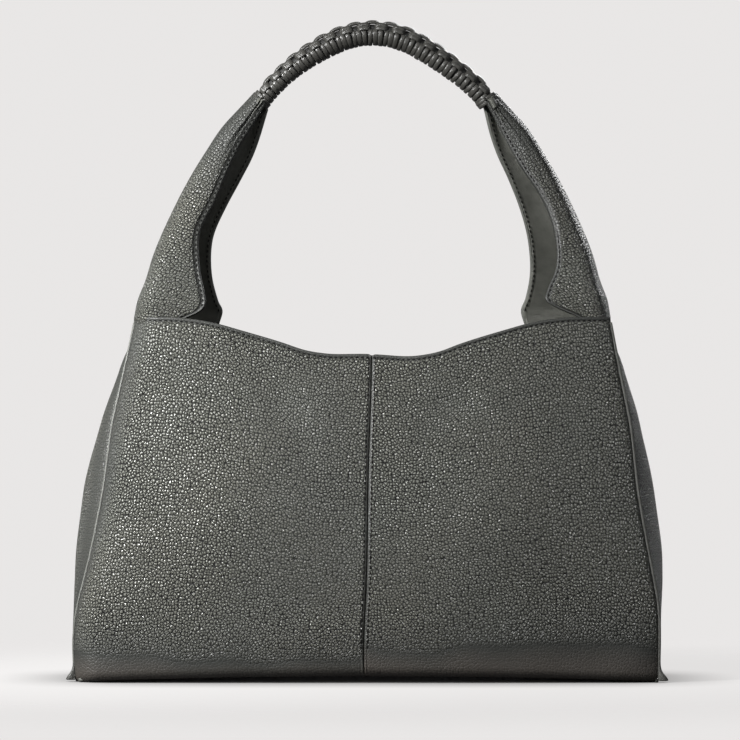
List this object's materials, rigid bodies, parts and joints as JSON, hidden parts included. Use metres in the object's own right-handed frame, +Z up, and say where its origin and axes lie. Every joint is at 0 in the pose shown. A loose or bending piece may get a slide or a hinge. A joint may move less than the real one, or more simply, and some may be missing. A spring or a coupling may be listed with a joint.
{
  "type": "hobo bag",
  "caption": "Slouchy leather hobo bag with a centre seam, bulging side gussets and channel straps gathered into a laced handle.",
  "frame": {"origin": "on the floor under the middle of the bag, at the centre of its box", "axes": "+Z up, +X to the bag's right seen from the front, -Y towards the front"},
  "size_m": [0.474, 0.178, 0.5293],
  "materials": {
    "pebbled_leather": "pebbled, semi-matt, dark grey-green",
    "smooth_leather": "smooth, satin",
    "lace_leather": "smooth flat lace, satin",
    "lining_cloth": "plain cotton weave, matt",
    "base_board": "dense bag board",
    "core_cord": "twisted cotton cord",
    "zip_tape": "woven tape",
    "zip_coil": "nylon coil",
    "metal": "antique brass, satin"
  },
  "bodies": {
    "bag": {"back_facing": "smooth_leather", "back_panel_left": "pebbled_leather", "back_panel_right": "pebbled_leather", "base_board": "base_board", "base_panel": "pebbled_leather", "front_facing": "smooth_leather", "front_panel_left": "pebbled_leather", "front_panel_right": "pebbled_leather", "gusset_left": "pebbled_leather", "gusset_right": "pebbled_leather", "lining_back": "lining_cloth", "lining_base": "lining_cloth", "lining_front": "lining_cloth", "lining_left": "lining_cloth", "lining_right": "lining_cloth", "slip_pocket": "smooth_leather", "snap_socket": "metal", "snap_stud": "metal", "strap_root_left": "pebbled_leather", "strap_root_lining_left": "smooth_leather", "strap_root_lining_right": "smooth_leather", "strap_root_right": "pebbled_leather", "zip_coil_lower": "zip_coil", "zip_coil_upper": "zip_coil", "zip_frame": "smooth_leather", "zip_pocket_bag": "lining_cloth", "zip_stop_left": "metal", "zip_stop_right": "metal", "zip_tape_lower": "zip_tape", "zip_tape_upper": "zip_tape"},
    "strap": {"strap_left": "pebbled_leather", "strap_right": "pebbled_leather", "strap_lining_left": "smooth_leather", "strap_lining_right": "smooth_leather", "handle_core": "core_cord", "handle_roll": "smooth_leather", "handle_wrap": "lace_leather"},
    "slider": {"zip_slider": "metal"},
    "pull": {"zip_pull": "metal"}
  },
  "joints": [
    {"name": "strap_fold", "type": "hinge", "parent": "bag", "child": "strap", "pos_m": [0, 0, 0.312], "axis": [1, 0, 0], "range_deg": [-60, 60], "deforming": ["strap_root_left", "strap_root_right", "strap_root_lining_left", "strap_root_lining_right"]},
    {"name": "zip_slide", "type": "slide", "parent": "bag", "child": "slider", "axis": [1, 0, 0], "range_m": [-0.164, 0]},
    {"name": "pull_swing", "type": "hinge", "parent": "slider", "child": "pull", "pos_m": [0.082, 0.06189, 0.19], "axis": [0, 0, 1], "range_deg": [0, 150]}
  ]
}
